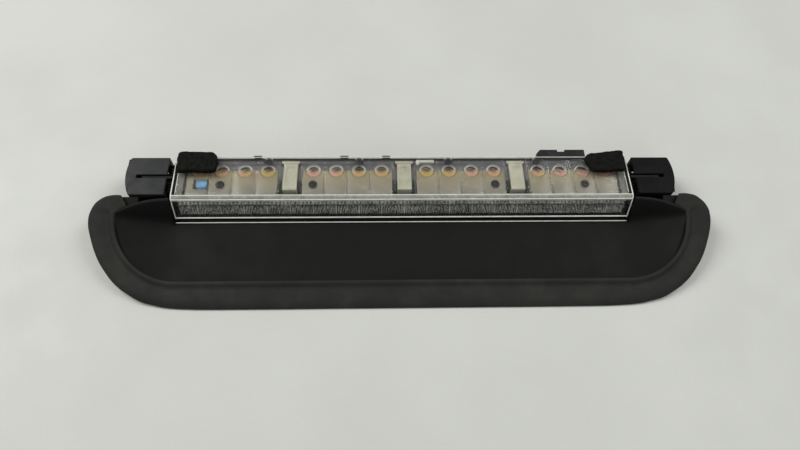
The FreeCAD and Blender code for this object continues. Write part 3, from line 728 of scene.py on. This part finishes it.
# ---------------------------------------------------------------- lens
lens = remade("outer_lens", "lens_cover", M["lens"], width=0.35, segments=3, angle=25.0, weld=0.01, flat=0.6,
              sharp=30.0)
lens.data.materials.append(M["frost"])
lens.data.materials.append(M["dark"])
lens.data.materials.append(M["ridge"])
bm = bmesh.new()
bm.from_mesh(lens.data)
for level in (4.5, 17.2):
    bmesh.ops.bisect_plane(bm, geom=list(bm.verts) + list(bm.edges) + list(bm.faces), dist=1e-7,
                           plane_co=(0, 0, level / 1000), plane_no=(0, 0, 1))
bm.to_mesh(lens.data)
bm.free()
# painted light on the cover: front faces of the foot get the near-white painted highlight, its low faces near-black
# painted shade, and the top front ridge a pale painted highlight
for p in lens.data.polygons:
    c = p.center
    cy, cz = c.y * 1000 - SY, c.z * 1000
    if cy < 2.8 and abs(p.normal.y) > 0.8:
        p.material_index = 1
    elif cy < 6.6 and cz < 4.5 and abs(p.normal.x) < 0.5:
        p.material_index = 2
    elif cy < 13.4 and cz > 17.2 and abs(p.normal.x) < 0.5:
        p.material_index = 3


def rod(path, r, n=10):
    rings = []
    path = [Vector(p) for p in path]
    m = len(path) - 1
    for i, p in enumerate(path):
        tan = (path[min(i + 1, m)] - path[max(i - 1, 0)]).normalized()
        side = tan.cross(Vector((0.02, 0.03, 1.0)) if abs(tan.z) < 0.9 else Vector((1, 0, 0))).normalized()
        up = side.cross(tan)
        k = 0.55 if i in (0, m) else 1.0
        rings.append([tuple(p + (side * math.cos(2 * math.pi * j / n) + up * math.sin(2 * math.pi * j / n)) * r * k)
                      for j in range(n)])
    return rings


def straight(a, b, n):
    a, b = Vector(a), Vector(b)
    return [a + (b - a) * i / n for i in range(n + 1)]


def lens_edges():
    """The thick moulded edges of the cover, as pale rods: their near-white colour is a painted highlight for the light
    the edges gather.
    """
    def run(y, z, r, x=145.1):
        return rod([(-x, y, z), (-x + 0.3, y, z)] + straight((-x + 2, y, z), (x - 2, y, z), 80)
                   + [(x - 0.3, y, z), (x, y, z)], r)
    tubes = [run(5.16, 4.9, 0.5), run(10.5, 18.35, 0.34), run(12.9, 19.8, 0.3), run(2.75, 3.0, 0.4)]
    for sg in (-1, 1):
        x = 145.15 * sg
        line = straight((x, 4.75, 3.9), (x, 10.35, 18.1), 12) + [Vector((x, 11.2, 19.2)), Vector((x, 12.8, 19.8))]
        line += straight((x, 14.0, 19.82), (x, 41.0, 19.82), 16)
        tubes.append(rod(line, 0.36))
        tubes.append(rod(straight((x * 0.9829, 14.0, 19.86), (x * 0.9829, 41.0, 19.86), 16), 0.2))
    tubes.append(rod(straight((-145.0, 41.2, 19.78), (145.0, 41.2, 19.78), 60), 0.26))
    obs = [loft("tube", t) for t in tubes]
    bm = bmesh.new()
    for o in obs:
        bm.from_mesh(o.data)
        bpy.data.objects.remove(o)
    me = bpy.data.meshes.new("lens_edges")
    bm.to_mesh(me)
    bm.free()
    ob = link_object("lens_edges", me)
    me.materials.append(M["frost"])
    smooth(ob, 60.0)
    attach(ob, "lamp")


lens_edges()


def end_ledges():
    """The ledges that close the cover at each end, beside the guides. Their pale grey is painted light, for the light
    their clear thickness shows.
    """
    obs = []
    for sg in (-1, 1):
        x0, x1 = sorted((139.5 * sg, 143.8 * sg))
        obs.append(slab(x0, x1, [(14.2, 15.9), (40.6, 15.9), (41.0, 16.3), (40.6, 16.7), (14.2, 16.7), (13.8, 16.3)]))
    bm = bmesh.new()
    for o in obs:
        bm.from_mesh(o.data)
        bpy.data.objects.remove(o)
    me = bpy.data.meshes.new("lens_end_ledges")
    bm.to_mesh(me)
    bm.free()
    ob = link_object("lens_end_ledges", me)
    me.materials.append(M["ledge"])
    smooth(ob, 40.0)
    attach(ob, "lamp")


end_ledges()


def optics():
    """The pillow optics moulded inside the leaning front: two rows of curved diamonds."""
    d = Vector((5.5, 14.2)).normalized()                  # up the inner face, in (y, z)
    nrm = Vector((-d.y, d.x))                             # outwards
    made = []
    for row, (z0, z1) in enumerate(((2.75, 10.9), (12.6, 16.4))):
        t0, t1 = (z0 - 2.4) / d.y, (z1 - 2.4) / d.y
        step = 0.27
        nu = int(round(284.0 / step))
        nv = max(6, int(round((t1 - t0) / step)))
        bm = bmesh.new()
        tone = bm.verts.layers.float.new("relief")
        grid = []
        for j in range(nv + 1):
            t = t0 + (t1 - t0) * j / nv
            line = []
            for i in range(nu + 1):
                x = -142.0 + 284.0 * i / nu
                c = (x / PITCH + 0.5) % 1.0 - 0.5
                u = c * PITCH
                v = t - t0
                if row == 0:
                    r1 = math.hypot(u + 8.2, v + 3.0)
                    r2 = math.hypot(u - 8.2, v + 3.0)
                    h = 0.20 * math.cos(2 * math.pi * r1 / 2.1) * math.cos(2 * math.pi * r2 / 2.1) + 0.20
                    edge = max(0.0, 1.0 - abs(u) / 0.45)
                else:
                    h = 0.22 * math.cos(2 * math.pi * v / 2.6) + 0.16 * math.cos(2 * math.pi * u / 2.42) + 0.3
                    edge = max(0.0, 1.0 - abs(u) / 0.35) * 0.8
                h = h * (1.0 - edge) + 0.55 * edge
                off = -1.15 + h
                y = 6.4 + d.x * t + nrm.x * off
                z = 2.4 + d.y * t + nrm.y * off
                vert = bm.verts.new(mm(x, y, z))
                # relief is the height, plus 0.5 at the cell edges, where the optic material paints a near-white
                # highlight line
                vert[tone] = h + (0.5 if edge > 0.3 else 0.0)
                line.append(vert)
            grid.append(line)
        for a, b in zip(grid, grid[1:]):
            for i in range(nu):
                bm.faces.new((a[i], a[i + 1], b[i + 1], b[i]))
        # flat back and closed sides
        rim = []
        rim += [grid[0][i] for i in range(nu + 1)]
        rim += [grid[j][nu] for j in range(1, nv + 1)]
        rim += [grid[nv][i] for i in range(nu - 1, -1, -1)]
        rim += [grid[j][0] for j in range(nv - 1, 0, -1)]
        backs = []
        for v in rim:
            p = v.co
            y, z = p.y * 1000 - SY, p.z * 1000
            t = (y - 6.4) * d.x + (z - 2.4) * d.y
            backs.append(bm.verts.new(mm(p.x * 1000, 6.4 + d.x * t - nrm.x * 1.7, 2.4 + d.y * t - nrm.y * 1.7)))
        m = len(rim)
        for i in range(m):
            bm.faces.new((rim[i], rim[(i + 1) % m], backs[(i + 1) % m], backs[i]))
        bm.faces.new(backs)
        bmesh.ops.recalc_face_normals(bm, faces=bm.faces)
        me = bpy.data.meshes.new("lens_optics")
        bm.to_mesh(me)
        bm.free()
        ob = link_object("lens_optics_%s" % ("low", "high")[row], me)
        me.materials.append(M["optic"])
        smooth(ob, 50.0)
        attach(ob, "lamp")
        made.append(ob)
    return made


optics()

# ---------------------------------------------------------------- pieces in the lamp
remade("lens_gasket", "lens_gasket_foam", M["gasket"], width=0.2, segments=2)
remade("lamp_housing", "lamp_tray", M["housing"], width=0.18, segments=2)
remade("led_frame", "reflector_frame", M["frame"], width=0.22, segments=2)
cups = remade("led_cups", "reflector_cups", M["cup"], width=0.1, segments=2, angle=40.0)
# the inner faces of each cup get the near-black painted shade
cups.data.materials.append(M["hollow"])
for p in cups.data.polygons:
    c = p.center
    cx = (c.x * 1000 / PITCH + 0.5) % 1.0 - 0.5
    cx *= PITCH
    cy = c.y * 1000 - SY - 32.5
    if math.hypot(cx, cy) < 3.95 and p.normal.x * cx + p.normal.y * cy < 0.1 and c.z * 1000 < 15.6:
        p.material_index = 1
remade("circuit_board", "board", M["board"], width=0.08, segments=1)
remade("leds", "light_sources", M["led"], width=0.12, segments=2, angle=35.0)
for part in ("far_left", "near_left", "near_right", "far_right"):
    remade("light_guide_" + part, "guide_" + part, M["guide"], width=0.3, segments=2)
remade("frame_screws", "screws_rear", M["screw"], width=0.15, segments=2)
remade("guide_screws", "screws_front", M["screw"], width=0.15, segments=2)
for part in ("left", "center", "right"):
    remade("snap_clip_" + part, "clip_" + part, M["clip"], width=0.3, segments=3)
remade("resistors", "chip_resistors", M["resistor"], width=0.06, segments=1)
remade("diode", "diode_body", M["diode"], width=0.1, segments=2)
remade("varistor", "varistor_disc", M["varistor"], width=0.4, segments=3, angle=50.0)
remade("board_header", "header_shell", M["header"], width=0.12, segments=2)
remade("connector_shell", "wiring_socket", M["connector"], width=0.2, segments=2)
remade("connector_pins", "socket_pins", M["pin"], width=0.06, segments=2)
# the right catch takes the darker copy, which is painted shade
for side in ("left", "right"):
    remade("latch_" + side, "catch_" + side, M["latch_" + side], width=0.3, segments=3, angle=35.0)
    remade("end_bracket_" + side, "bracket_" + side, M["bracket"], width=0.25, segments=2)


def foam_pad(node, name, seed, outline):
    """A worn pad of open-cell foam: rounded, slack at the corners, with a torn, fluffy edge."""
    lo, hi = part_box(node)
    edge = catmull([(x, y, 0.0) for x, y in outline], 8, closed=True)
    mid = sum(edge, Vector()) / len(edge)
    z0, z1 = lo[2] * 1000 + 0.03, hi[2] * 1000 - 0.15
    rings = []
    for dz, inset in ((0.0, 1.3), (0.0, 0.35), (0.35, 0.05), (1.2, 0.0), (2.7, 0.0), (3.45, 0.15), (3.8, 0.5), (3.85, 1.5)):
        ring = []
        for p in edge:
            d = (p - mid)
            q = p - d.normalized() * inset
            ring.append((q.x, q.y, min(z0 + dz, z1)))
        rings.append(ring)
    ob = loft(name, rings)
    rm = ob.modifiers.new("cells", "REMESH")
    rm.mode = "VOXEL"
    rm.voxel_size = 0.00032
    dg = bpy.context.evaluated_depsgraph_get()
    dense = bpy.data.meshes.new_from_object(ob.evaluated_get(dg))
    ob.modifiers.clear()
    ob.data = dense
    cx, cy = (lo[0] + hi[0]) / 2, (lo[1] + hi[1]) / 2
    bm = bmesh.new()
    bm.from_mesh(dense)
    for _ in range(2):
        bmesh.ops.smooth_vert(bm, verts=bm.verts, factor=0.5, use_axis_x=True, use_axis_y=True, use_axis_z=True)
    bm.normal_update()
    moved = []
    for v in bm.verts:
        p = v.co * 1000
        q = Vector((p.x, p.y, p.z + seed * 7.3))
        top = max(0.0, min(1.0, (p.z - 20.5) / 2.2))
        side = 1.0 - abs(v.normal.z)
        d = (noise.noise(q * 0.16) * 0.45 + noise.noise(q * 0.5) * 0.26) * (0.3 + 0.7 * top)
        d += noise.noise(q * 1.7) * 0.16 + noise.noise(q * 4.3) * 0.12
        d += side * (noise.noise(q * 0.4 + Vector((5, 1, seed))) * 0.5)
        co = v.co + v.normal * (d / 1000)
        rx = (v.co.x - cx) / max(hi[0] - cx, 1e-6)
        ry = (v.co.y - cy) / max(hi[1] - cy, 1e-6)
        co.z -= (0.2 * rx * rx + 0.12 * ry * ry) * top / 1000
        co.z = min(max(co.z, 0.02001), 0.0244)
        moved.append((v, co))
    for v, co in moved:
        v.co = co
    bm.to_mesh(dense)
    bm.free()
    dense.materials.clear()
    dense.materials.append(M["foam"])
    smooth(ob, 80.0)
    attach(ob, "lamp")
    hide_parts(node)
    return ob


foam_pad("foam_pad_left", "foam_left", 1,
         [(-143.4, 42.6), (-142.2, 43.4), (-135, 43.2), (-127, 43.4), (-122.4, 43.1), (-120.8, 42.0), (-119.0, 39.4),
          (-118.3, 36.6), (-118.9, 32.5), (-119.2, 30.0), (-120.4, 29.0), (-127, 28.9), (-135, 29.2), (-142.3, 28.8),
          (-143.6, 29.8), (-143.3, 35.0)])
foam_pad("foam_pad_right", "foam_right", 2,
         [(118.3, 39.4), (120.2, 41.2), (126, 42.6), (134, 43.6), (141.6, 44.0), (143.0, 43.2), (143.3, 38.5),
          (143.6, 31.6), (142.6, 29.6), (137, 29.3), (132, 28.7), (127.5, 28.6), (122.5, 28.9), (120.6, 29.8),
          (119.6, 32.0), (118.0, 35.4)])


def spring(side):
    """A round-wire spring between the bracket and the catch, with closed ends."""
    sg = -1.0 if side == "left" else 1.0
    x0, x1 = 158.15, 173.05
    r, wire = 3.0, 0.45
    cy, cz = 27.0, 11.5
    path = []
    turns = 6.6
    steps = 200
    for i in range(steps + 1):
        t = i / steps
        a = 2 * math.pi * turns * t
        # the end turns lie closed
        e = 0.115
        if t < e:
            f = 0.03 * t / e
        elif t > 1 - e:
            f = 1 - 0.03 * (1 - t) / e
        else:
            f = 0.03 + 0.94 * (t - e) / (1 - 2 * e)
        x = x0 + wire + (x1 - x0 - 2 * wire) * f
        path.append(Vector((x * sg, cy + r * math.cos(a), cz + r * math.sin(a))))
    rings = []
    ns = 10
    for i, p in enumerate(path):
        tan = (path[min(i + 1, steps)] - path[max(i - 1, 0)]).normalized()
        rad = Vector((0, p.y - cy, p.z - cz)).normalized()
        b = tan.cross(rad).normalized()
        rad = b.cross(tan)
        rings.append([p + (rad * math.cos(2 * math.pi * j / ns) + b * math.sin(2 * math.pi * j / ns)) * wire
                      for j in range(ns)])
    ob = loft("catch_spring_" + side, [[tuple(q) for q in ring] for ring in rings])
    ob.data.materials.append(M["spring"])
    smooth(ob, 60.0)
    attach(ob, "lamp")
    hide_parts("latch_spring_" + side)
    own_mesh(ob)
    return ob


spring("left")
spring("right")

# ---------------------------------------------------------------- floor and light
def floor_material():
    g = Graph("floor_pale")
    tone = g.ranged(g.noise(9.0, 4.0, 0.5), 0.3, 0.7)
    speck = g.ranged(g.noise(620.0, 3.0, 0.6), 0.35, 0.65)
    a = g.mix(tone, lin(206, 207, 201), lin(212, 213, 208))
    g.link(g.mix(g.math("MULTIPLY", speck, 0.10), a, lin(190, 191, 184)), g.bsdf.inputs["Base Color"])
    g.link(g.ranged(g.noise(50.0), 0.3, 0.7, 0.5, 0.62), g.bsdf.inputs["Roughness"])
    g.link(g.bump(g.noise(800.0, 3.0), 0.02), g.bsdf.inputs["Normal"])
    g.set(Specular_IOR_Level=0.3)
    return g.m


bm = bmesh.new()
bmesh.ops.create_grid(bm, x_segments=8, y_segments=8, size=1.6)
me = bpy.data.meshes.new("floor")
bm.to_mesh(me)
bm.free()
floor = link_object("floor", me)
floor.location = (0, 0, -0.0001)
me.materials.append(floor_material())


def area(name, size, power, at, look, color=(1, 1, 1)):
    li = bpy.data.lights.new(name, "AREA")
    li.shape = "RECTANGLE"
    li.size, li.size_y = size
    li.energy = power
    li.color = color
    ob = bpy.data.objects.new(name, li)
    bpy.context.scene.collection.objects.link(ob)
    ob.location = at
    ob.rotation_euler = (Vector(look) - Vector(at)).to_track_quat("-Z", "Y").to_euler()
    return ob


area("key", (0.8, 0.9), 16.2, (-1.05, 0.5, 1.25), (0, 0, 0), (1.0, 0.998, 0.985))
area("fill", (0.8, 0.9), 10.0, (1.05, 0.45, 1.25), (0, 0, 0), (0.99, 0.995, 1.0))
area("front", (0.9, 0.5), 2.2, (0.1, -1.2, 0.75), (0, 0, 0), (1.0, 1.0, 0.99))
world = bpy.data.worlds.new("world")
world.use_nodes = True
bg = world.node_tree.nodes["Background"]
bg.inputs[0].default_value = (0.95, 0.96, 0.95, 1.0)
bg.inputs[1].default_value = 0.3
bpy.context.scene.world = world
bpy.context.scene.view_settings.view_transform = "Standard"
